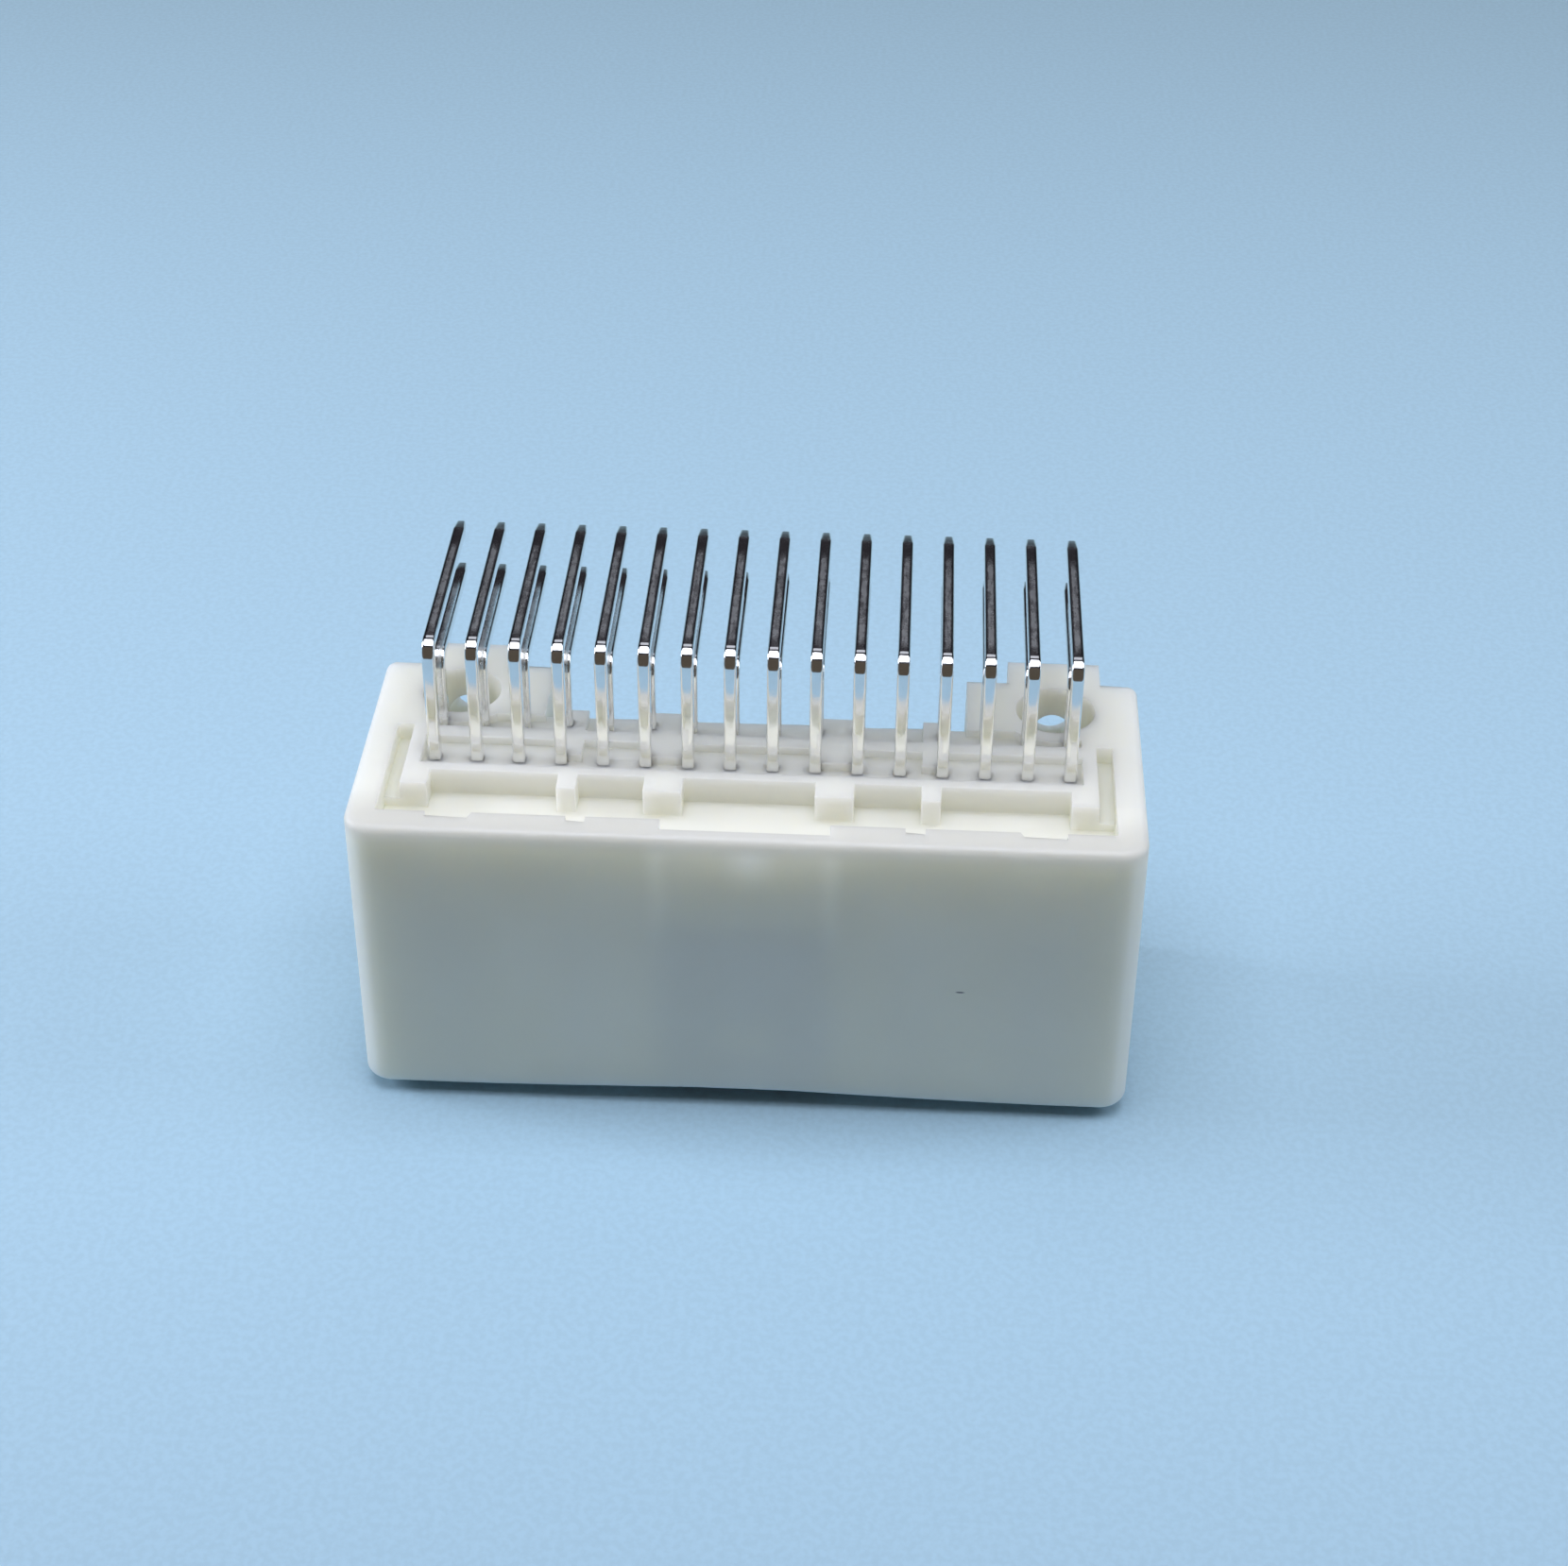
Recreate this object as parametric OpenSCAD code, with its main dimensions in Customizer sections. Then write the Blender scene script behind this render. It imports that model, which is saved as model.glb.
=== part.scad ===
// Right-angle board header: a shrouded housing that stands on its mating mouth, with two rows
// of square contacts that leave its back and bend over to reach the circuit board.
// Millimetres. X runs along the rows, Y from the front wall towards the board, Z from the
// mouth to the back. The origin is the middle of the whole part's footprint.

/* [Contacts] */
// Number of contacts in each row
contacts_per_row = 16; // [12:1:24]
// Distance between neighbouring contacts in a row
pitch = 2.2; // [2:0.1:3]
// Thickness of the square contact wire
wire = 0.64; // [0.5:0.02:0.8]
// Bevel along the edges of the wire
wire_bevel = 0.07; // [0.03:0.01:0.12]
// Inner radius of the right-angle bend
bend_r = 0.3; // [0.2:0.05:0.5]
// Length of the pointed end of a contact
point_l = 0.9; // [0.3:0.1:1.2]
// Width left at the very end of the point
point_w = 0.46; // [0.2:0.02:0.5]
// Distance from the front wall's face to the middle of the long row
long_row_y = 7.2; // [6.9:0.1:7.5]
// Distance between the two rows inside the housing
row_gap = 2.75; // [2.6:0.05:2.9]
// Height of the long contacts' top face above the housing's back
long_rise = 6.6; // [5.5:0.1:9]
// Height of the short contacts' top face above the housing's back
short_rise = 4.2; // [3:0.1:4.8]
// Reach of the long contacts beyond the board face
long_tail = 2.15; // [1.5:0.05:4]
// Reach of the short contacts beyond the board face
short_tail = 1.75; // [1.2:0.05:4]
// Distance from the mouth to the contacts' mating points
point_setback = 3; // [2:0.1:5]

/* [Housing] */
// Height from the mouth to the back
body_h = 16.85; // [16:0.05:22]
// Depth from the front face to the rear face
body_d = 15.25; // [14.8:0.05:16]
// Radius of the housing's upright front corners
corner_r = 1.5; // [0.8:0.1:1.9]
// Radius of the housing's upright rear corners
rear_corner_r = 0.65; // [0.6:0.05:1]
// Rounding along the housing's outer rims
rim_r = 0.4; // [0.2:0.05:0.5]
// Part of the rear rounding that the flat rear face cuts away
rear_cut = 0.25; // [0.1:0.05:0.35]
// Thickness of the front wall
front_t = 1.7; // [1.5:0.1:2]
// Thickness of the side walls
side_t = 1.55; // [1.2:0.05:2]
// Thickness of the rear wall
rear_t = 1.5; // [1.2:0.1:1.7]
// Plastic left between the last contact's middle and the end of the contact block
block_end = 1.4; // [1.1:0.05:2]
// Width of the channels at both ends of the contact block
channel_w = 0.85; // [0.6:0.05:2]

/* [Mating cavity] */
// Depth of the cavity from the mouth to its roof
cavity_h = 11; // [9:0.5:11.5]
// Radius of the cavity's upright corners
cavity_r = 0.6; // [0.3:0.1:1]
// Lead-in bevel around the mouth
lead_in = 0.4; // [0.2:0.1:0.7]
// Rise of the mouth's front edge towards its middle
mouth_rise = 0.5; // [0.2:0.05:0.8]
// Length of the level middle of that risen edge
mouth_rise_l = 5; // [2:1:20]
// Front wall left behind the latch channel
latch_wall_t = 0.85; // [0.7:0.05:1.2]
// Width of the latch channel
latch_w = 8.6; // [6:0.2:12]
// Width of the locking ledge in the latch channel
ledge_w = 3.4; // [2:0.2:5]
// Height of the locking ledge above the channel's floor
ledge_t = 0.7; // [0.4:0.1:0.8]
// Length of the locking ledge's ramp
ledge_ramp = 1.6; // [1:0.1:2.5]
// Distance of the locking ledge from the mouth
ledge_z = 2.4; // [1.5:0.1:4]
// Depth of the keying grooves in the front wall
key_groove_d = 0.45; // [0.3:0.05:0.6]
// Thickness of the keying ribs on the rear wall
key_rib_t = 0.9; // [0.5:0.1:1.2]
// Place of the side grooves from the middle, in pitches
side_groove_at = 3.9; // [3.5:0.1:5]
// Width of the side grooves
side_groove_w = 1; // [0.6:0.1:1.4]
// Place of the end grooves before the last contacts, in pitches
end_groove_at = 0.62; // [0.5:0.02:0.8]
// Width of the end grooves
end_groove_w = 2.15; // [1.6:0.05:2.3]
// Slant of the end grooves' inner sides
groove_slant = 0.25; // [0.1:0.05:0.4]

/* [Back of the housing] */
// Depth of the trench between the front wall and the contact block
trench_d = 1.5; // [1:0.1:2.5]
// Distance from the front face to the contact block
block_y = 5.35; // [5.1:0.05:5.5]
// Height of the channels' floors above the trench's floor
channel_floor_h = 0.5; // [0.2:0.1:0.9]
// Thickness of the ridge between the trench and the long contacts
ridge_t = 0.65; // [0.5:0.05:0.8]
// Width of the slot behind the ridge, which no rib crosses
slot_w = 1.1; // [0.9:0.05:1.2]
// Depth of the troughs that the contacts rise from
trough_d = 0.5; // [0.3:0.05:0.8]
// Reach of the short ribs from the block into the trench
rib_reach = 1.3; // [0.8:0.1:2]
// Place of the wide ribs from the middle, in pitches
wide_rib_at = 2; // [1:0.25:3]
// Width of the wide ribs
wide_rib_w = 2; // [1.4:0.1:2.4]
// Place of the narrow ribs from the middle, in pitches
narrow_rib_at = 4.25; // [4:0.25:4.75]
// Width of the narrow ribs
narrow_rib_w = 1; // [0.6:0.1:1.2]
// Thickness of the bar between the two troughs
bar_t = 0.95; // [0.7:0.05:1.1]
// Gap between the bar and the short contacts
bar_gap = 0.25; // [0.1:0.05:0.4]
// Thickness of the block behind the short row
block_rear_t = 1.25; // [1:0.05:1.6]
// Depth of the step down behind the contact block
step_d = 4; // [2:0.5:4]

/* [Mounting ears] */
// Distance between the two mounting holes
hole_spacing = 31.7; // [31:0.1:32.5]
// Diameter of the mounting holes
hole_d = 2.4; // [2:0.1:2.8]
// Distance of the mounting holes below the back
hole_drop = 2.9; // [2.6:0.1:3.2]
// Diameter of the round pockets for the nuts
pocket_d = 4.2; // [3.8:0.1:4.4]
// Distance from the board face to the middle of the pockets
pocket_y = 4.6; // [4.5:0.1:4.9]
// Depth of the pockets below the mounting holes
pocket_floor = 0.2; // [0:0.1:0.6]
// Wall around the pockets
pocket_t = 0.9; // [0.6:0.1:1.1]
// Width of the bosses that meet the board
boss_w = 4.95; // [4.5:0.05:5.4]
// Height of the bosses
boss_h = 6.2; // [6:0.1:7]
// Reach of the bosses behind the rear face
boss_reach = 2.05; // [1.6:0.05:2.8]
// Width of the ears from the housing's end
ear_w = 9.15; // [8.9:0.05:9.5]
// Gap between the short contacts and the ears
ear_gap = 0.35; // [0.2:0.05:0.6]

/* [Hidden] */
$fn = 48;
eps = 0.01;
contact_ids = [for (i = [1:contacts_per_row]) str(i < 10 ? "0" : "", i)];

plastic = [0.93, 0.93, 0.87];
tin = [0.78, 0.79, 0.8];

// Places along the rows
row_half = (contacts_per_row - 1) * pitch / 2;
block_half = row_half + block_end;
channel_x = block_half + channel_w;
body_w = 2 * (channel_x + side_t);
trough_half = row_half + wire;

// Places from front to rear
short_row_y = long_row_y + row_gap;
slot_y = block_y + ridge_t;
trough_y = slot_y + slot_w;
bar_rear_y = short_row_y - wire / 2 - bar_gap;
bar_y = bar_rear_y - bar_t;
block_rear_y = short_row_y + block_rear_t;
ear_y = short_row_y + wire / 2 + ear_gap;
rib_y = block_y - rib_reach;
board_y = body_d + boss_reach;
pocket_mid_y = board_y - pocket_y;
overall_d = board_y + max(long_tail, short_tail);

// Heights
trench_z = body_h - trench_d;
trough_z = body_h - trough_d;
step_z = body_h - step_d;
hole_z = body_h - hole_drop;
pocket_z = hole_z - hole_d / 2 - pocket_floor;

// Places across the width
wide_rib_x = wide_rib_at * pitch;
narrow_rib_x = narrow_rib_at * pitch;
side_groove_x = side_groove_at * pitch;
end_groove_x = row_half - end_groove_at * pitch;
hole_x = hole_spacing / 2;
ear_x = body_w / 2 - ear_w;

// A rectangle centred on x, from y0 to y1
module band(x, w, y0, y1) {
    translate([x - w / 2, y0]) square([w, y1 - y0]);
}

// The same shape at both ends of the housing
module both_ends() {
    children();
    mirror([1, 0, 0]) children();
}

// A rectangle w wide and h high, from y = 0, with corners rounded by r
module round_rect(w, h, r) {
    band(0, w - 2 * r, 0, h);
    band(0, w, r, h - r);
    for (x = [r - w / 2, w / 2 - r])
        for (y = [r, h - r])
            translate([x, y]) circle(r);
}

// An upright corner of the housing of radius r, with the same soft rims at both ends
module corner_post(r) {
    inset = r - rim_r;
    rotate_extrude() intersection() {
        union() {
            square([inset, body_h]);
            translate([0, rim_r]) square([r, body_h - 2 * rim_r]);
            for (z = [rim_r, body_h - rim_r]) translate([inset, z]) circle(rim_r);
        }
        square([r, body_h]);
    }
}

// A stretch of the housing's long sides, w wide, from y0 to y1, cut from a block d deep
module long_stretch(w, d, y0, y1) {
    rotate([90, 0, 90]) linear_extrude(w, center = true) intersection() {
        translate([d / 2, 0]) round_rect(d, body_h, rim_r);
        translate([y0, 0]) square([y1 - y0, body_h]);
    }
}

// The housing before it is hollowed: round upright corners, soft rims and a flat rear face
module body_block() {
    d = body_d + rear_cut;
    difference() {
        union() {
            long_stretch(body_w - 2 * corner_r, d, 0, d / 2);
            long_stretch(body_w - 2 * rear_corner_r, d, d / 2, d);
            translate([0, d - rear_corner_r, 0]) rotate([90, 0, 0])
                linear_extrude(d - rear_corner_r - corner_r) round_rect(body_w, body_h, rim_r);
            both_ends() {
                translate([corner_r - body_w / 2, corner_r, 0]) corner_post(corner_r);
                translate([rear_corner_r - body_w / 2, d - rear_corner_r, 0])
                    corner_post(rear_corner_r);
            }
        }
        translate([-body_w / 2, body_d, -eps]) cube([body_w, d, body_h + 2 * eps]);
    }
}

// A boss that stands against the board, behind each ear
module boss() {
    translate([hole_x - boss_w / 2, body_d - rear_t, body_h - boss_h])
        cube([boss_w, board_y - body_d + rear_t, boss_h]);
}

// The ribs that cross the back of the housing from front to rear
module cross_ribs(y0, y1) {
    both_ends() {
        band(wide_rib_x, wide_rib_w, y0, y1);
        band(narrow_rib_x, narrow_rib_w, y0, y1);
    }
}

// The trench that runs round the front and the ends of the contact block
module trench_plan() {
    difference() {
        union() {
            band(0, 2 * channel_x, front_t, block_y);
            both_ends() band(block_half + channel_w / 2, channel_w, front_t, bar_rear_y);
            groove_plan();
        }
        cross_ribs(rib_y, block_y + eps);
        both_ends() band(row_half + block_end / 2, block_end, rib_y, block_y + eps);
    }
}

// The raised floor of each channel, which ends level with the ribs' front faces
module channel_floor() {
    translate([block_half - eps, rib_y, trench_z - eps])
        cube([channel_w + 2 * eps, bar_rear_y - rib_y + eps, channel_floor_h + eps]);
}

// A groove in the front wall at the ends of the rows, with a slanted inner side
module end_groove(y) {
    inner_x = end_groove_x - end_groove_w / 2;
    polygon([
        [inner_x, y],
        [inner_x + end_groove_w, y],
        [inner_x + end_groove_w, front_t + eps],
        [inner_x - groove_slant, front_t + eps]
    ]);
}

// The grooves in the inner face of the front wall
module groove_plan() {
    groove_y = front_t - key_groove_d;
    band(0, latch_w, latch_wall_t, front_t + eps);
    both_ends() {
        band(side_groove_x, side_groove_w, groove_y, front_t + eps);
        end_groove(groove_y);
    }
}

// The troughs in the contact block, crossed by ribs and stopped by the pocket walls
module trough_plan() {
    band(0, 2 * trough_half, slot_y, trough_y);
    difference() {
        union() {
            band(0, 2 * trough_half, trough_y - eps, bar_y);
            band(0, 2 * trough_half, bar_rear_y, ear_y);
            band(0, 2 * ear_x, ear_y - eps, block_rear_y + eps);
        }
        cross_ribs(trough_y, block_rear_y + 2 * eps);
        both_ends() translate([hole_x, pocket_mid_y]) circle(pocket_d / 2 + pocket_t);
    }
}

// The round pocket for a nut, with the mounting hole from it to the board face
module pocket_cut() {
    translate([hole_x, pocket_mid_y, pocket_z])
        cylinder(h = body_h - pocket_z + eps, d = pocket_d);
    translate([hole_x, pocket_mid_y, hole_z])
        rotate([-90, 0, 0]) cylinder(h = board_y - pocket_mid_y + eps, d = hole_d);
}

// A bevel that is cut along one straight edge of the mouth, l long on X
module lead_in_cut(l) {
    rotate([90, 0, 90]) linear_extrude(l, center = true)
        polygon([[-lead_in, -eps], [eps, -eps], [eps, lead_in]]);
}

// The hollow that receives the mating plug, with its latch channel and keying grooves
module cavity_cut() {
    inner_w = 2 * channel_x;
    inner_d = body_d - front_t - rear_t;
    translate([0, 0, -eps]) linear_extrude(cavity_h + eps) {
        translate([0, front_t]) round_rect(inner_w, inner_d, cavity_r);
        groove_plan();
    }
    translate([0, front_t, 0]) lead_in_cut(inner_w);
    translate([0, body_d - rear_t, 0]) mirror([0, 1, 0]) lead_in_cut(inner_w);
    both_ends() translate([-channel_x, front_t + inner_d / 2, 0])
        rotate([0, 0, -90]) lead_in_cut(inner_d);
}

// The wedge of air below the mouth's front edge, which rises towards its middle
module mouth_gap() {
    translate([0, front_t + eps, 0]) rotate([90, 0, 0]) linear_extrude(front_t + 2 * eps)
        polygon([
            [-channel_x, -eps],
            [channel_x, -eps],
            [channel_x, 0],
            [mouth_rise_l / 2, mouth_rise],
            [-mouth_rise_l / 2, mouth_rise],
            [-channel_x, 0]
        ]);
}

// The ledge that the plug's latch snaps behind: a ramp that faces the mouth
module locking_ledge() {
    root_y = latch_wall_t - eps;
    translate([0, 0, ledge_z]) rotate([90, 0, 90]) linear_extrude(ledge_w, center = true)
        polygon([
            [root_y, 0],
            [root_y + ledge_t, ledge_ramp],
            [root_y + ledge_t, ledge_ramp + ledge_t],
            [root_y, ledge_ramp + ledge_t]
        ]);
}

// Two keying ribs on the rear wall of the cavity
module key_ribs() {
    rib_rear_y = body_d - rear_t + eps;
    both_ends() translate([0, 0, 2 * lead_in]) linear_extrude(cavity_h - 2 * lead_in + eps)
        band(narrow_rib_x, narrow_rib_w, rib_rear_y - key_rib_t, rib_rear_y);
}

// The wire's cross-section: a square with bevelled corners
module wire_section() {
    h = wire / 2;
    b = h - wire_bevel;
    polygon([[h, -b], [h, b], [b, h], [-b, h], [-h, b], [-h, -b], [-b, -h], [b, -h]]);
}

// The holes that the contacts are pressed into, straight through the contact block
module seat_holes() {
    for (y = [long_row_y, short_row_y])
        for (i = [1:contacts_per_row])
            translate([contact_x(i), y, cavity_h - eps])
                linear_extrude(body_h - cavity_h + 2 * eps) wire_section();
}

// The moulded housing
module housing() {
    color(plastic) translate([0, -overall_d / 2, 0]) difference() {
        union() {
            difference() {
                union() {
                    body_block();
                    both_ends() boss();
                }
                cavity_cut();
                mouth_gap();
                translate([-ear_x, block_rear_y, step_z])
                    cube([2 * ear_x, body_d, step_d + eps]);
                translate([0, 0, trench_z]) linear_extrude(trench_d + eps) trench_plan();
                translate([0, 0, trough_z]) linear_extrude(trough_d + eps) trough_plan();
                both_ends() pocket_cut();
            }
            both_ends() channel_floor();
            key_ribs();
            locking_ledge();
        }
        seat_holes();
    }
}

// Place of contact i along its row
function contact_x(i) = -row_half + (i - 1) * pitch;

// Outline of a bar from just below 0 to l that narrows to a point at its upper end
module point_outline(l) {
    polygon([
        [-wire / 2, -eps],
        [wire / 2, -eps],
        [wire / 2, l - point_l],
        [point_w / 2, l],
        [-point_w / 2, l],
        [-wire / 2, l - point_l]
    ]);
}

// A straight wire l long that stands on its flat end and is pointed at its upper end
module pointed_wire(l) {
    intersection() {
        linear_extrude(l) wire_section();
        rotate([90, 0, 0]) linear_extrude(wire, center = true) point_outline(l);
        rotate([90, 0, 90]) linear_extrude(wire, center = true) point_outline(l);
    }
}

// A bent contact: its upright leg stands at row_y, and its tail's top face lies at top_z.
// It is drawn about the middle of its bend, where the leg and the tail both start.
module bent_contact(i, row_y, top_z, tail_y) {
    mid_r = bend_r + wire / 2;
    bend_y = row_y + mid_r;
    bend_z = top_z - wire / 2 - mid_r;
    color(tin) translate([contact_x(i), bend_y - overall_d / 2, bend_z]) {
        translate([0, -mid_r, 0]) mirror([0, 0, 1]) pointed_wire(bend_z - point_setback);
        rotate([90, 0, -90]) rotate_extrude(angle = 90) translate([mid_r, 0]) wire_section();
        translate([0, 0, mid_r]) rotate([-90, 0, 0]) pointed_wire(tail_y - bend_y);
    }
}

// A contact of the long row, next to the front wall
module long_contact(i) {
    bent_contact(i, long_row_y, body_h + long_rise, board_y + long_tail);
}

// A contact of the short row, behind the long one
module short_contact(i) {
    bent_contact(i, short_row_y, body_h + short_rise, board_y + short_tail);
}

housing();
for (i = [1:contacts_per_row])
    long_contact(i);
for (i = [1:contacts_per_row])
    short_contact(i);
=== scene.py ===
import math

import bmesh
import bpy
import numpy as np
from bpy.props import FloatProperty, FloatVectorProperty, IntProperty, PointerProperty
from mathutils import Matrix, Vector


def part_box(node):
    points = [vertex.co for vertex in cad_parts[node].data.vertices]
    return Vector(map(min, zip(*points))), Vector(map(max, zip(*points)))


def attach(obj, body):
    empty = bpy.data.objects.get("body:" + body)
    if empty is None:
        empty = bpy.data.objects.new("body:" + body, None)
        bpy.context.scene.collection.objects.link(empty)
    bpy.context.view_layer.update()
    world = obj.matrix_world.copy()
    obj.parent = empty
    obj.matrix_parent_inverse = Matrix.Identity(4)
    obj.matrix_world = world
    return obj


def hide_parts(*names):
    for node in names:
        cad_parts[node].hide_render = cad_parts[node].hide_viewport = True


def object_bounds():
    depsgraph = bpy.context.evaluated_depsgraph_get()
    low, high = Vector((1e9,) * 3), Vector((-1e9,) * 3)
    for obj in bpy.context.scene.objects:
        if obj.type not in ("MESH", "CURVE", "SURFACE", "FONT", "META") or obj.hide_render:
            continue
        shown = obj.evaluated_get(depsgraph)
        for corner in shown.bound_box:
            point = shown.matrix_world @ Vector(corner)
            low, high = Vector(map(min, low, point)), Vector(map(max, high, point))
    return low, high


bl_info = {
    "name": "Right-angle pin header",
    "version": (1, 0, 0),
    "blender": (4, 5, 0),
    "location": "3D View > Sidebar > Header",
    "description": "Builds the finish of a shrouded right-angle board header around its solids",
    "category": "Add Mesh",
}

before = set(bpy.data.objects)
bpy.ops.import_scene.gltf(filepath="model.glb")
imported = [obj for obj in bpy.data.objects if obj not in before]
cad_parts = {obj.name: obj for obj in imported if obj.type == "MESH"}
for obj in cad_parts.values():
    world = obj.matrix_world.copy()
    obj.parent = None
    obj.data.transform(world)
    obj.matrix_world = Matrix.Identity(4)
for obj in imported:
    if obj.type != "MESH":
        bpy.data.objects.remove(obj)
CAD_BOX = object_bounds()
MM = 0.001
# Distance between neighbours in a row of contacts
ROW_PITCH = 2.2 * MM


# Sizes and colours that a user would change


class HousingSettings(bpy.types.PropertyGroup):
    """The moulded housing and its plastic."""

    edge_round: FloatProperty(
        name="Edge rounding", description="Radius left on the moulded edges",
        default=0.05 * MM, min=0.01 * MM, max=0.1 * MM, precision=6, unit="LENGTH")
    colour: FloatVectorProperty(
        name="Plastic", description="Colour of the unpainted plastic",
        default=(0.85, 0.84, 0.755), min=0, max=1, subtype="COLOR")
    scatter_depth: FloatProperty(
        name="Scatter depth", description="How far light spreads inside the plastic",
        default=3 * MM, min=0.1 * MM, max=5 * MM, precision=5, unit="LENGTH")
    roughness: FloatProperty(
        name="Roughness", description="Roughness of the moulded surface",
        default=0.42, min=0, max=1)


class ContactSettings(bpy.types.PropertyGroup):
    """The square contacts and their tin plating."""

    bend_radius: FloatProperty(
        name="Bend radius", description="Inner radius of the right-angle bend",
        default=0.3 * MM, min=0.1 * MM, max=0.6 * MM, precision=5, unit="LENGTH")
    edge_power: FloatProperty(
        name="Squareness", description="Power of the superellipse that is the wire's section",
        default=5.5, min=4, max=20)
    point_length: FloatProperty(
        name="Point length", description="Length of the narrowed ends",
        default=0.9 * MM, min=0.2 * MM, max=1.5 * MM, precision=5, unit="LENGTH")
    point_share: FloatProperty(
        name="Point width", description="Width at the very end, as a share of the wire",
        default=0.72, min=0.3, max=1, subtype="FACTOR")
    section_points: IntProperty(
        name="Section points", description="Points round the wire", default=32, min=16, max=64)
    colour: FloatVectorProperty(
        name="Tin", description="Colour of the bright tin plating",
        default=(0.90, 0.90, 0.89), min=0, max=1, subtype="COLOR")
    roughness: FloatProperty(
        name="Roughness", description="Roughness of the plating", default=0.11, min=0, max=1)


class StageSettings(bpy.types.PropertyGroup):
    """The floor, the lamps and the camera."""

    floor_colour: FloatVectorProperty(
        name="Floor", description="Colour of the matte paper underneath",
        default=(0.385, 0.57, 0.70), min=0, max=1, subtype="COLOR")
    key_colour: FloatVectorProperty(
        name="Lamp colour", description="Colour of every lamp",
        default=(0.85, 0.885, 1.0), min=0, max=1, subtype="COLOR")
    room_colour: FloatVectorProperty(
        name="Room colour", description="Colour of the light from all round",
        default=(1.0, 0.88, 0.72), min=0, max=1, subtype="COLOR")
    flag_colour: FloatVectorProperty(
        name="Flag", description="Colour of the dark card that the bends mirror",
        default=(0.09, 0.075, 0.06), min=0, max=1, subtype="COLOR")
    floor_drop: FloatProperty(
        name="Floor drop", description="Gap between the header's lowest rim and the floor",
        default=0.75 * MM, min=0, max=5 * MM, precision=5, unit="LENGTH")
    floor_half: FloatProperty(
        name="Floor reach", description="Distance from the middle to the floor's edges",
        default=0.45, min=0.3, max=3, unit="LENGTH")
    key_power: FloatProperty(
        name="Key lamp", description="Power of the wide lamp overhead",
        default=0.74, min=0, unit="POWER")
    rear_power: FloatProperty(
        name="Rear lamp", description="Power of the lamp behind the header",
        default=0.04, min=0, unit="POWER")
    left_power: FloatProperty(
        name="Left lamp", description="Power of the lamp on the left",
        default=0.4, min=0, unit="POWER")
    right_power: FloatProperty(
        name="Right lamp", description="Power of the lamp on the right",
        default=0.19, min=0, unit="POWER")
    room_level: FloatProperty(
        name="Room light", description="Level of the light from all round", default=0.2, min=0)
    lens: FloatProperty(
        name="Lens", description="Focal length of the camera", default=67.3, min=10, max=200)
    distance: FloatProperty(
        name="Camera distance", description="Distance from the camera to the point it looks at",
        default=156.9 * MM, min=0.05, max=2, precision=4, unit="LENGTH")
    azimuth: FloatProperty(
        name="Camera turn", description="Turn of the camera round the header",
        default=math.radians(-2.61), subtype="ANGLE")
    elevation: FloatProperty(
        name="Camera height", description="Angle of the camera above the floor",
        default=math.radians(35.49), subtype="ANGLE")
    roll: FloatProperty(
        name="Camera roll", description="Roll of the camera about its line of sight",
        default=math.radians(-0.54), subtype="ANGLE")
    aim: FloatVectorProperty(
        name="Aim", description="Point that the camera looks at, from the middle of the header",
        default=(1.54 * MM, 0.86 * MM, 1.275 * MM), precision=5, subtype="TRANSLATION",
        unit="LENGTH")


# Node helpers


def new_material(name):
    """An empty node material, its tree and its shader."""
    material = bpy.data.materials.new(name)
    material.use_nodes = True
    tree = material.node_tree
    return material, tree, tree.nodes["Principled BSDF"]


def add_node(tree, kind, inputs=None, **settings):
    """A node of that kind with its settings, and its inputs as values or as linked sockets."""
    node = tree.nodes.new(kind)
    for name, value in settings.items():
        setattr(node, name, value)
    for key, value in (inputs or {}).items():
        if isinstance(value, bpy.types.NodeSocket):
            tree.links.new(value, node.inputs[key])
        else:
            node.inputs[key].default_value = value
    return node


def maths(tree, operation, *values, clamp=False):
    """The result of one maths node."""
    return add_node(tree, "ShaderNodeMath", dict(enumerate(values)), operation=operation,
                    use_clamp=clamp).outputs[0]


def product(tree, first, *others):
    """The product of some values."""
    for other in others:
        first = maths(tree, "MULTIPLY", first, other)
    return first


def object_point(tree):
    """The socket that holds the point's place in the part's own frame."""
    return add_node(tree, "ShaderNodeTexCoord").outputs["Object"]


def axes(tree, vector):
    """The three sockets that hold a vector's x, y and z."""
    return add_node(tree, "ShaderNodeSeparateXYZ", {0: vector}).outputs


def noise(tree, vector, scale, detail=2.0, roughness=0.5):
    """A noise value from 0 to 1, with scale in cycles per metre."""
    return add_node(tree, "ShaderNodeTexNoise", {
        "Vector": vector, "Scale": scale, "Detail": detail, "Roughness": roughness}).outputs[0]


def stretched(tree, vector, scale):
    """The vector with each axis multiplied, to draw a pattern out along one axis."""
    return add_node(tree, "ShaderNodeVectorMath", {0: vector, 1: scale},
                    operation="MULTIPLY").outputs[0]


def map_range(tree, value, low, high, to_low, to_high, kind="SMOOTHSTEP"):
    """The value taken from one range to another, clamped at both ends."""
    return add_node(tree, "ShaderNodeMapRange", {
        "Value": value, "From Min": low, "From Max": high, "To Min": to_low, "To Max": to_high},
        interpolation_type=kind).outputs[0]


def off_middle(tree, value, middle):
    """How far the value is from its middle, on either side."""
    return maths(tree, "ABSOLUTE", maths(tree, "SUBTRACT", value, middle))


def bell(tree, value, middle, reach):
    """A share that is 1 where the value is at its middle and 0 beyond its reach."""
    return map_range(tree, off_middle(tree, value, middle), 0.0, reach, 1.0, 0.0)


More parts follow.
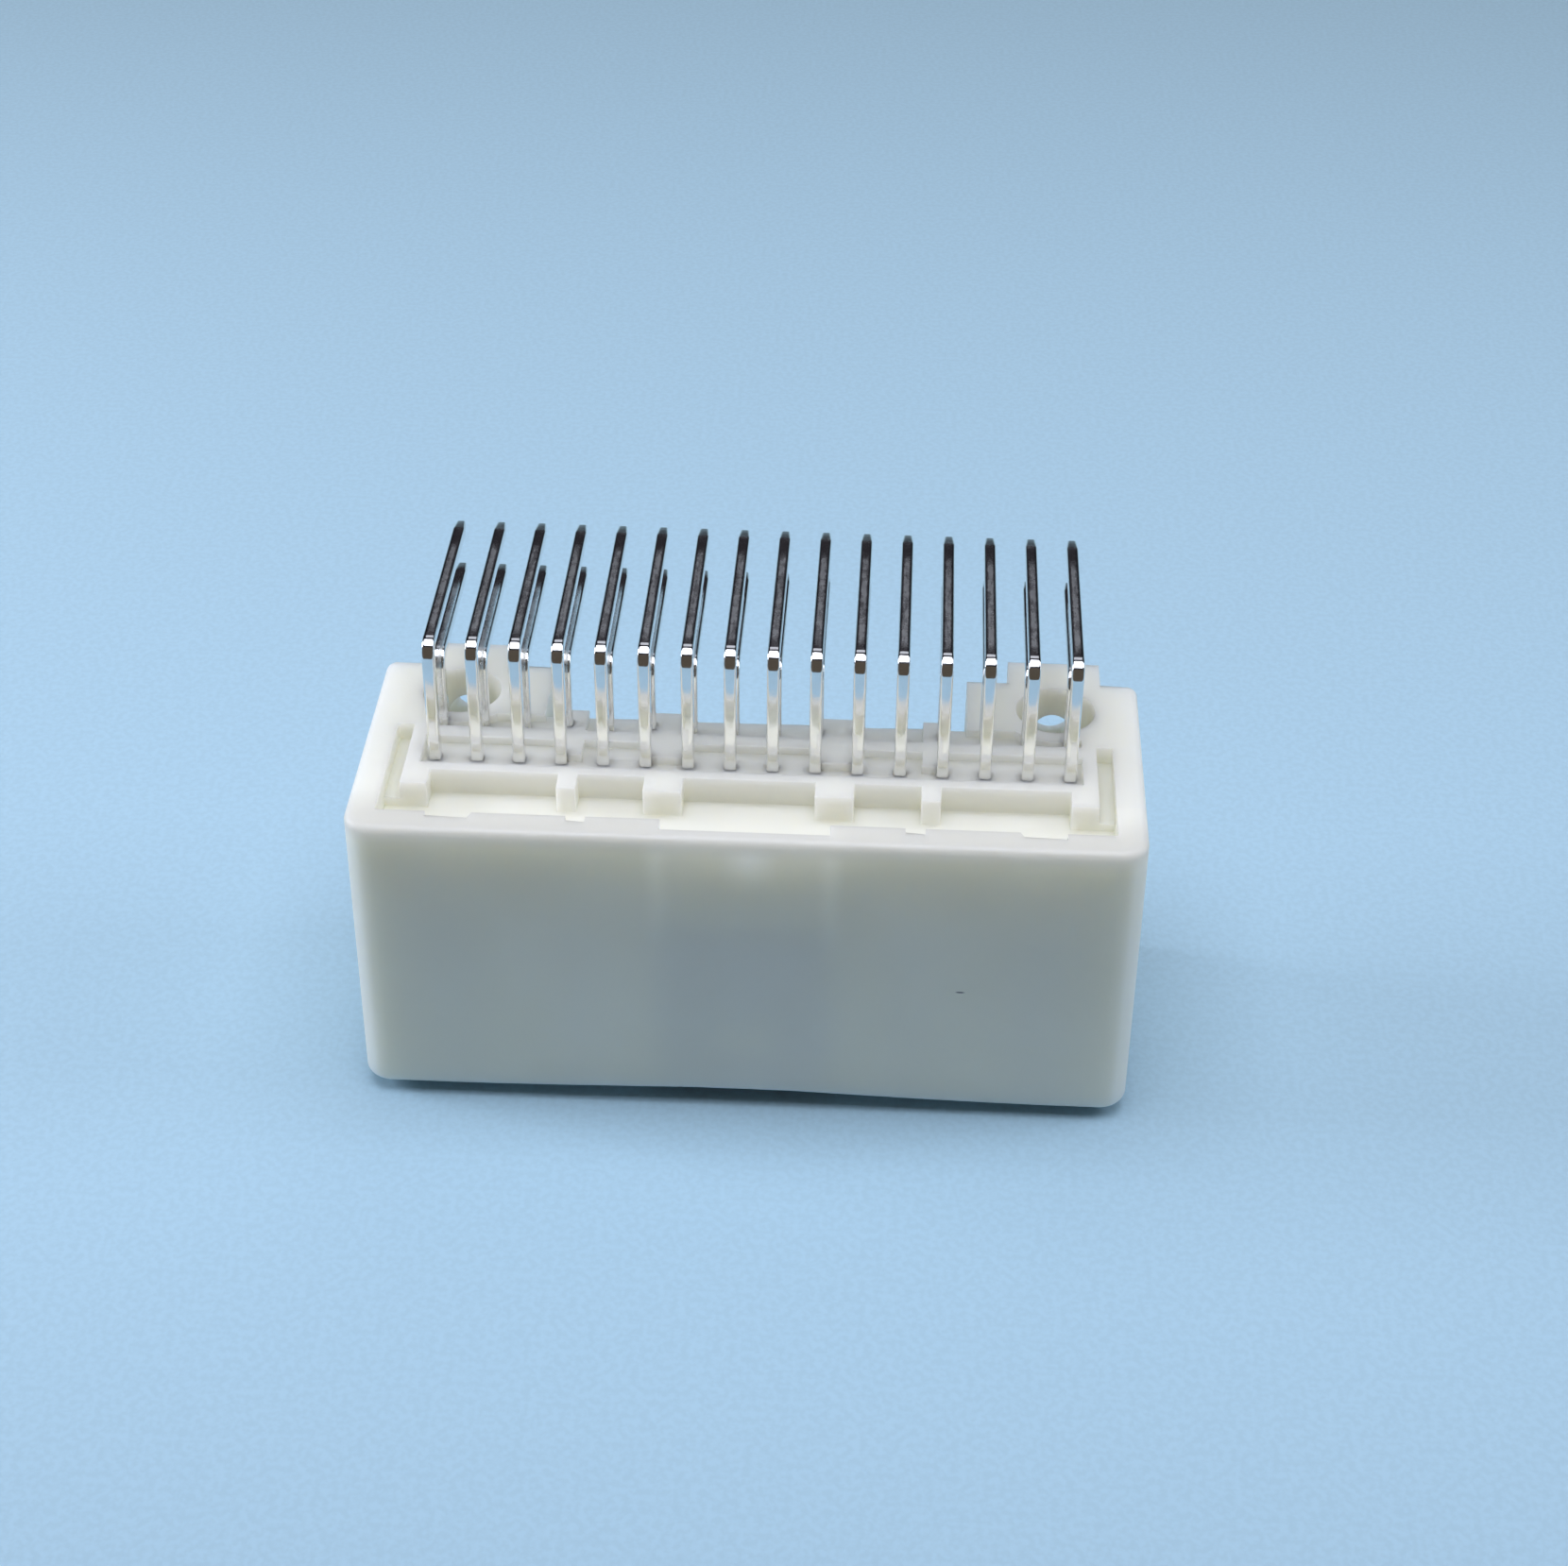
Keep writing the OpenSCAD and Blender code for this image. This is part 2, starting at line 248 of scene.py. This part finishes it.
def toned(colour, *factors):
    """The opaque colour whose channels are multiplied by three factors, or all by a single one."""
    factors = factors * 3 if len(factors) == 1 else factors
    return (*[min(1.0, channel * factor) for channel, factor in zip(colour, factors)], 1.0)


def mixed_colour(tree, share, first, second):
    """The colour between two colours."""
    node = add_node(tree, "ShaderNodeMix", data_type="RGBA")
    for socket, value in ((node.inputs["Factor"], share), (node.inputs[6], first),
                          (node.inputs[7], second)):
        if isinstance(value, bpy.types.NodeSocket):
            tree.links.new(value, socket)
        else:
            socket.default_value = value
    return node.outputs[2]


def bumped(tree, height, distance, strength=1.0):
    """A normal that a height value, in shares of distance, disturbs."""
    return add_node(tree, "ShaderNodeBump", {
        "Height": height, "Distance": distance, "Strength": strength}).outputs[0]


# Materials


def front_face(tree, point):
    """A share that is 1 on the front face."""
    _, y, _ = axes(tree, point)
    return map_range(tree, y, -9.7 * MM, -9.4 * MM, 1.0, 0.0)


def painted_rim_shade(tree, point):
    """The share of painted shade, cooler and darker, that lies over the top of the front wall."""
    _, y, z = axes(tree, point)
    front = map_range(tree, y, -8.6 * MM, -5.7 * MM, 1.0, 0.0)
    top = map_range(tree, z, 15.6 * MM, 16.6 * MM, 0.0, 1.0)
    return product(tree, front, top)


def flow_marks(tree, point):
    """The pale streaks at the top of the front face: a wandering one over each side of the latch
    channel and a short one between them. All fade out on the way down."""
    side_x, side_reach = 4.65 * MM, 0.9 * MM
    middle_x, middle_reach = 0.3 * MM, 1.8 * MM
    back_z, side_end_z, middle_end_z = 16.5 * MM, 8 * MM, 13 * MM
    x, _, z = axes(tree, point)
    wander = product(tree, noise(tree, point, 400.0), 0.5 * MM)
    across = maths(tree, "ADD", maths(tree, "ABSOLUTE", x), wander)
    sides = product(tree, bell(tree, across, side_x, side_reach), 0.5)
    middle = product(tree, bell(tree, x, middle_x, middle_reach),
                     map_range(tree, z, middle_end_z, back_z, 0.0, 1.0))
    streak = maths(tree, "MAXIMUM", sides, middle)
    fade = map_range(tree, z, side_end_z, back_z, 0.0, 1.0)
    return product(tree, streak, fade, front_face(tree, point))


def speck(tree, point):
    """A small dark inclusion in the front face."""
    x, _, z = axes(tree, point)
    spot = product(tree, bell(tree, x, 11.2 * MM, 0.3 * MM), bell(tree, z, 7.7 * MM, 0.07 * MM))
    return maths(tree, "MULTIPLY", spot, product(tree, front_face(tree, point), 2.0), clamp=True)


def moulded_plastic(settings):
    """Unfilled natural plastic: it lets light in, is faintly cloudy and has a fine moulded grain.
    Its front face has painted shade, a little darker and warmer, and marks lie over that; the top
    of the front wall has a cooler, darker painted shade."""
    material, tree, shader = new_material("moulded_plastic")
    point = object_point(tree)
    cloud = noise(tree, point, 180.0, detail=3.0)
    plain = settings.colour
    colour = mixed_colour(tree, cloud, toned(plain, 0.94, 0.95, 0.93), toned(plain, 1.0))
    # painted shade: the front face is tinted darker and warmer, a little less where the cloud is
    # high
    front_face_shade = product(tree, front_face(tree, point),
                         map_range(tree, cloud, 0.3, 0.7, 1.0, 0.75))
    colour = mixed_colour(tree, front_face_shade, colour, toned(plain, 0.88, 0.87, 0.82))
    colour = mixed_colour(tree, flow_marks(tree, point), colour, toned(plain, 1.06))
    # painted shade over the top of the front wall, cooler and darker
    colour = mixed_colour(tree, painted_rim_shade(tree, point), colour, toned(plain, 0.79, 0.79, 0.80))
    colour = mixed_colour(tree, speck(tree, point), colour, (0.12, 0.12, 0.12, 1.0))
    tree.links.new(colour, shader.inputs["Base Color"])
    grain = noise(tree, point, 9000.0, detail=2.0)
    orange_peel = noise(tree, point, 900.0, detail=1.0)
    height = maths(tree, "ADD", grain, product(tree, orange_peel, 2.0))
    tree.links.new(bumped(tree, height, 0.004 * MM), shader.inputs["Normal"])
    rough = map_range(tree, noise(tree, point, 500.0), 0.3, 0.7,
                      settings.roughness - 0.05, settings.roughness + 0.05, "LINEAR")
    tree.links.new(rough, shader.inputs["Roughness"])
    shader.inputs["IOR"].default_value = 1.5
    shader.inputs["Subsurface Weight"].default_value = 1.0
    shader.inputs["Subsurface Radius"].default_value = (1.0, 0.95, 0.85)
    shader.inputs["Subsurface Scale"].default_value = settings.scatter_depth
    return material


def rub_marks(tree, point):
    """The duller, broken stripe that runs along the middle of every tail, and the patch on its
    point. The remainder of x over the row's pitch finds the middle of every tail."""
    stripe_y, stripe_full, stripe_end = 2.9 * MM, 3.6 * MM, 4.9 * MM
    point_y, point_reach = 8.9 * MM, 0.5 * MM
    x, y, _ = axes(tree, point)
    turn = maths(tree, "FRACT", maths(tree, "DIVIDE", x, ROW_PITCH))
    across = product(tree, off_middle(tree, turn, 0.5), ROW_PITCH)
    stripe = product(
        tree, map_range(tree, across, 0.1 * MM, 0.22 * MM, 1.0, 0.0),
        map_range(tree, off_middle(tree, y, stripe_y), stripe_full, stripe_end, 1.0, 0.0))
    tip = product(tree, bell(tree, y, point_y, point_reach), 0.6)
    drawn = noise(tree, stretched(tree, point, (4000.0, 700.0, 700.0)), 1.0)
    patches = map_range(tree, drawn, 0.3, 0.6, 0.6, 1.0)
    return product(tree, maths(tree, "MAXIMUM", stripe, tip), patches)


def bright_tin(settings):
    """Bright tin plating, drawn out along the wire, with small dents and duller patches."""
    material, tree, shader = new_material("bright_tin")
    point = object_point(tree)
    drawn = noise(tree, stretched(tree, point, (9000.0, 700.0, 700.0)), 1.0, detail=2.0)
    waves = noise(tree, point, 1400.0, detail=1.0)
    dents = noise(tree, point, 9000.0, detail=2.0)
    height = maths(tree, "ADD", product(tree, drawn, 0.6), product(tree, waves, 0.4))
    height = maths(tree, "ADD", height, product(tree, dents, 0.25))
    tree.links.new(bumped(tree, height, 0.004 * MM), shader.inputs["Normal"])
    rough = map_range(tree, noise(tree, point, 2500.0), 0.35, 0.75,
                      settings.roughness - 0.03, settings.roughness + 0.04, "LINEAR")
    rough = maths(tree, "ADD", rough, product(tree, rub_marks(tree, point), 0.19))
    tree.links.new(rough, shader.inputs["Roughness"])
    colour = mixed_colour(tree, noise(tree, point, 1800.0, detail=3.0),
                          toned(settings.colour, 1.0), toned(settings.colour, 0.86))
    tree.links.new(colour, shader.inputs["Base Color"])
    shader.inputs["Metallic"].default_value = 1.0
    return material


def matte_paper(settings):
    """Matte paper with a fine tooth, which fades out into the room's own pale colour."""
    fade_start, fade_end = 0.2, 0.32
    material, tree, shader = new_material("matte_paper")
    point = object_point(tree)
    tooth = noise(tree, point, 2600.0, detail=3.0)
    colour = mixed_colour(tree, map_range(tree, tooth, 0.35, 0.65, 0.0, 1.0),
                          toned(settings.floor_colour, 0.97), toned(settings.floor_colour, 1.03))
    tree.links.new(colour, shader.inputs["Base Color"])
    tree.links.new(bumped(tree, tooth, 0.012 * MM), shader.inputs["Normal"])
    shader.inputs["Roughness"].default_value = 0.85
    shader.inputs["Specular IOR Level"].default_value = 0.2
    away = add_node(tree, "ShaderNodeVectorMath", {0: point}, operation="LENGTH").outputs["Value"]
    tree.links.new(map_range(tree, away, fade_start, fade_end, 1.0, 0.0), shader.inputs["Alpha"])
    return material


# Surfaces


def grid_faces(rows, columns):
    """Quads of a grid of rows by columns whose columns close on themselves."""
    r, c = np.meshgrid(np.arange(rows - 1), np.arange(columns), indexing="ij")
    here, beside = r * columns + c, r * columns + (c + 1) % columns
    return np.stack([here, beside, beside + columns, here + columns], axis=-1).reshape(-1, 4)


def mesh_piece(name, points, quads, caps, material):
    """A smooth-shaded mesh object from points, quads and the rings that close its ends."""
    mesh = bpy.data.meshes.new(name)
    mesh.from_pydata(points.tolist(), [], quads.tolist() + [list(map(int, cap)) for cap in caps])
    mesh.polygons.foreach_set("use_smooth", np.ones(len(mesh.polygons), bool))
    mesh.materials.append(material)
    mesh.update()
    piece = bpy.data.objects.new(name, mesh)
    bpy.context.scene.collection.objects.link(piece)
    return piece


def wire_section(half, power, count):
    """Points round a square wire: the superellipse |a|^p + |b|^p = half^p, followed by its angle t
    as a = half * sign(cos t) * |cos t|^(2/p) and b = half * sign(sin t) * |sin t|^(2/p)."""
    t = (np.arange(count) + 0.5) * 2 * np.pi / count
    a = np.sign(np.cos(t)) * np.abs(np.cos(t)) ** (2 / power)
    b = np.sign(np.sin(t)) * np.abs(np.sin(t)) ** (2 / power)
    return half * np.stack([a, b], axis=-1)


def end_profile(point_length, share, round_length):
    """Distances from a wire's end and the section's scale there: a straight taper from 1 down to
    share, then a quarter ellipse that rounds the last round_length off down to the flat end. Two
    rings inside the taper, near its ends, keep its shading straight."""
    flat_end, near, far = 0.86, 0.06, 0.94
    turn = np.linspace(0, np.pi / 2, 5)[:-1]
    distance = round_length * (1 - np.cos(turn))
    scale = share * (flat_end + (1 - flat_end) * np.sin(turn))
    return (np.append(distance, [round_length, near * point_length, far * point_length,
                                 point_length]),
            np.append(scale, [share, share + near * (1 - share), share + far * (1 - share), 1.0]))


def bent_wire(low, high, settings):
    """Rings of a bent contact that fills the box from low to high. Its centreline runs up Z, turns
    a quarter circle about the X axis and runs on along +Y, and each ring is the wire's section in
    the plane across that line, scaled near both ends by end_profile."""
    half = (high.x - low.x) / 2
    mid_r = settings.bend_radius + half
    leg_y, tail_z = low.y + half, high.z - half
    bend_y, bend_z = leg_y + mid_r, tail_z - mid_r
    point_end = 1.05 * settings.point_length
    distance, scale = end_profile(settings.point_length, settings.point_share, 0.03 * MM)
    leg_z = np.linspace(low.z + point_end, bend_z, 7)
    turn = np.linspace(0, np.pi / 2, 17)[1:]
    tail_y = np.linspace(bend_y, high.y - point_end, 9)[1:]
    y = np.concatenate([np.full(len(distance) + len(leg_z), leg_y), bend_y - mid_r * np.cos(turn),
                        tail_y, high.y - distance[::-1]])
    z = np.concatenate([low.z + distance, leg_z, bend_z + mid_r * np.sin(turn),
                        np.full(len(tail_y) + len(distance), tail_z)])
    lean = np.concatenate([np.zeros(len(distance) + len(leg_z)), turn,
                           np.full(len(tail_y) + len(distance), np.pi / 2)])
    size = np.concatenate([scale, np.ones(len(leg_z) + len(turn) + len(tail_y)), scale[::-1]])
    section = wire_section(half, settings.edge_power, settings.section_points)
    a = size[:, None] * section[None, :, 0]
    b = size[:, None] * section[None, :, 1]
    return np.stack([(low.x + high.x) / 2 + a, y[:, None] - b * np.cos(lean)[:, None],
                     z[:, None] + b * np.sin(lean)[:, None]], axis=-1)


def contact_piece(node, material, settings):
    """The finished contact that stands for one solid contact."""
    rings = bent_wire(*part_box(node), settings)
    rows, columns = rings.shape[:2]
    ring = np.arange(columns)
    caps = [ring[::-1], ring + (rows - 1) * columns]
    points, quads = rings.reshape(-1, 3), grid_faces(rows, columns)
    piece = mesh_piece("tin_" + node, points, quads, caps, material)
    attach(piece, "root")
    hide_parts(node)


def rounded_copy(node, name, settings):
    """A copy of a solid whose doubled points are merged and whose sharp edges are rounded, apart
    from the short ones, where the rounding would run together."""
    doubled, flat_angle = 0.001 * MM, math.radians(0.5)
    sharp_angle, shortest_edge = math.radians(30), 0.55 * MM
    shape = bmesh.new()
    shape.from_mesh(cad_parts[node].data)
    bmesh.ops.remove_doubles(shape, verts=shape.verts, dist=doubled)
    bmesh.ops.dissolve_limit(shape, angle_limit=flat_angle, verts=shape.verts, edges=shape.edges)
    weight = shape.edges.layers.float.new("bevel_weight_edge")
    for edge in shape.edges:
        if edge.calc_face_angle(0) > sharp_angle and edge.calc_length() > shortest_edge:
            edge[weight] = 1.0
    mesh = bpy.data.meshes.new(name)
    shape.to_mesh(mesh)
    shape.free()
    mesh.polygons.foreach_set("use_smooth", np.ones(len(mesh.polygons), bool))
    mesh.set_sharp_from_angle(angle=sharp_angle)
    piece = bpy.data.objects.new(name, mesh)
    bpy.context.scene.collection.objects.link(piece)
    bevel = piece.modifiers.new("rounding", "BEVEL")
    bevel.width = settings.edge_round
    bevel.segments = 2
    bevel.limit_method = "WEIGHT"
    bevel.use_clamp_overlap = False
    normals = piece.modifiers.new("flat faces stay flat", "WEIGHTED_NORMAL")
    normals.mode = "FACE_AREA"
    normals.weight = 100
    normals.keep_sharp = True
    return piece


# Operators


class HEADER_OT_housing(bpy.types.Operator):
    """Build the moulded housing with its rounded edges and plastic"""

    bl_idname = "header.housing"
    bl_label = "Housing"

    def execute(self, context):
        settings = context.scene.header_housing
        piece = rounded_copy("housing", "moulded_housing", settings)
        piece.data.materials.clear()
        piece.data.materials.append(moulded_plastic(settings))
        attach(piece, "root")
        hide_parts("housing")
        return {"FINISHED"}


class HEADER_OT_contacts(bpy.types.Operator):
    """Build both rows of bent contacts with their tin plating"""

    bl_idname = "header.contacts"
    bl_label = "Contacts"

    def execute(self, context):
        settings = context.scene.header_contacts
        nodes = sorted(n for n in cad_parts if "_contact_" in n)
        if not nodes:
            raise RuntimeError("the solid model has no contacts")
        tin = bright_tin(settings)
        for node in nodes:
            contact_piece(node, tin, settings)
        return {"FINISHED"}


def area_lamp(name, place, aim, size, power, colour):
    """A rectangular area lamp at place that shines at aim."""
    data = bpy.data.lights.new(name, "AREA")
    data.color = colour
    data.shape = "RECTANGLE"
    data.size, data.size_y = size
    data.energy = power
    lamp = bpy.data.objects.new(name, data)
    turn = (Vector(aim) - Vector(place)).to_track_quat("-Z", "Y").to_matrix().to_4x4()
    lamp.matrix_world = Matrix.Translation(place) @ turn
    bpy.context.scene.collection.objects.link(lamp)


def camera_matrix(aim, settings):
    """The camera's place and turn: back along its line of sight by the distance, then rolled."""
    turn, rise = settings.azimuth, settings.elevation
    ahead = Vector((math.sin(turn) * math.cos(rise), math.cos(turn) * math.cos(rise),
                    -math.sin(rise)))
    right = Vector((math.cos(turn), -math.sin(turn), 0))
    up = right.cross(ahead)
    level = Matrix((right, up, -ahead)).transposed().to_4x4()
    place = Matrix.Translation(aim - ahead * settings.distance)
    return place @ level @ Matrix.Rotation(-settings.roll, 4, "Z")


def flag_card(settings):
    """A dark card that stands in front of the header. Its mirrored surfaces show it, and it takes a
    little of the room's light, but the camera doesn't see it and it throws no shadow."""
    half, front, top = 0.15, -0.052, 0.085
    corners = np.array([[half, front, 0], [-half, front, 0], [-half, front, top],
                        [half, front, top]])
    material, tree, _ = new_material("flag_card")
    glow = add_node(tree, "ShaderNodeEmission", {"Color": (*settings.flag_colour, 1.0)})
    tree.links.new(glow.outputs[0], tree.nodes["Material Output"].inputs["Surface"])
    card = mesh_piece("flag", corners, np.array([[0, 1, 2, 3]]), [], material)
    card.visible_camera = card.visible_shadow = False
    card.visible_transmission = False


def room_world(settings):
    """The room: pale to the camera, a warm even light on the surfaces, and in mirrored surfaces
    pale low down and dark from a third of the way up, darkest at both sides."""
    wall_ahead, wall_aside = (0.024, 0.022, 0.027, 1.0), (0.012, 0.012, 0.016, 1.0)
    world = bpy.data.worlds.new("room")
    world.use_nodes = True
    tree = world.node_tree
    tree.nodes.clear()
    direction = add_node(tree, "ShaderNodeTexCoord").outputs["Generated"]
    across, _, height = axes(tree, direction)
    path = add_node(tree, "ShaderNodeLightPath").outputs
    is_diffuse = path["Is Diffuse Ray"]
    unseen = maths(tree, "SUBTRACT", 1.0, path["Is Camera Ray"])
    rise = product(tree, map_range(tree, height, 0.1, 0.32, 0.0, 1.0), unseen)
    aside = map_range(tree, off_middle(tree, across, -0.05), 0.1, 0.22, 0.0, 1.0)
    wall = mixed_colour(tree, aside, wall_ahead, wall_aside)
    seen = mixed_colour(tree, rise, toned(settings.floor_colour, 0.88), wall)
    colour = mixed_colour(tree, is_diffuse, seen, (*settings.room_colour, 1.0))
    level = maths(tree, "ADD", product(tree, is_diffuse, settings.room_level - 1.0), 1.0)
    background = add_node(tree, "ShaderNodeBackground", {"Color": colour, "Strength": level})
    output = add_node(tree, "ShaderNodeOutputWorld")
    tree.links.new(background.outputs[0], output.inputs["Surface"])
    return world


class HEADER_OT_stage(bpy.types.Operator):
    """Set up the paper floor, the lamps, the room and the camera"""

    bl_idname = "header.stage"
    bl_label = "Stage"

    def execute(self, context):
        scene = context.scene
        settings = scene.header_stage
        low, high = CAD_BOX
        middle = (low + high) / 2
        reach = settings.floor_half
        level = low.z - settings.floor_drop
        corners = np.array([[-reach, -reach, level], [reach, -reach, level],
                            [reach, reach, level], [-reach, reach, level]])
        floor = mesh_piece("paper", corners, np.array([[0, 1, 2, 3]]), [], matte_paper(settings))
        for name, place, aim, size, power in (
                ("key", (0, -0.038, 0.30), (0, -0.038, 0), (0.26, 0.216), settings.key_power),
                ("rear", (0, 0.19, 0.25), middle, (0.16, 0.11), settings.rear_power),
                ("left", (-0.255, 0.02, 0.127), middle, (0.10, 0.10), settings.left_power),
                ("right", (0.22, 0.02, 0.18), middle, (0.10, 0.10), settings.right_power)):
            area_lamp(name, place, aim, size, power, settings.key_colour)
        flag_card(settings)
        scene.world = room_world(settings)
        camera = bpy.data.objects.new("camera", bpy.data.cameras.new("camera"))
        camera.data.lens = settings.lens
        camera.data.sensor_width = 36
        camera.data.clip_start = 0.001
        camera.matrix_world = camera_matrix(middle + Vector(settings.aim), settings)
        scene.collection.objects.link(camera)
        scene.camera = camera
        scene.view_settings.view_transform = "Standard"
        return {"FINISHED"}


class VIEW3D_PT_header(bpy.types.Panel):
    """Sidebar panel of the header"""

    bl_label = "Pin header"
    bl_category = "Header"
    bl_space_type = "VIEW_3D"
    bl_region_type = "UI"

    def draw(self, context):
        for name, operator in (("header_housing", "header.housing"),
                               ("header_contacts", "header.contacts"),
                               ("header_stage", "header.stage")):
            box = self.layout.box()
            box.operator(operator)
            settings = getattr(context.scene, name)
            for key in settings.__annotations__:
                box.prop(settings, key)


CLASSES = (HousingSettings, ContactSettings, StageSettings, HEADER_OT_housing, HEADER_OT_contacts,
           HEADER_OT_stage, VIEW3D_PT_header)


def register():
    for cls in CLASSES:
        bpy.utils.register_class(cls)
    bpy.types.Scene.header_housing = PointerProperty(type=HousingSettings)
    bpy.types.Scene.header_contacts = PointerProperty(type=ContactSettings)
    bpy.types.Scene.header_stage = PointerProperty(type=StageSettings)


def unregister():
    del bpy.types.Scene.header_stage
    del bpy.types.Scene.header_contacts
    del bpy.types.Scene.header_housing
    for cls in reversed(CLASSES):
        bpy.utils.unregister_class(cls)


def main():
    """Build every piece and the stage."""
    register()
    bpy.ops.header.housing()
    bpy.ops.header.contacts()
    bpy.ops.header.stage()


if __name__ == "__main__":
    main()
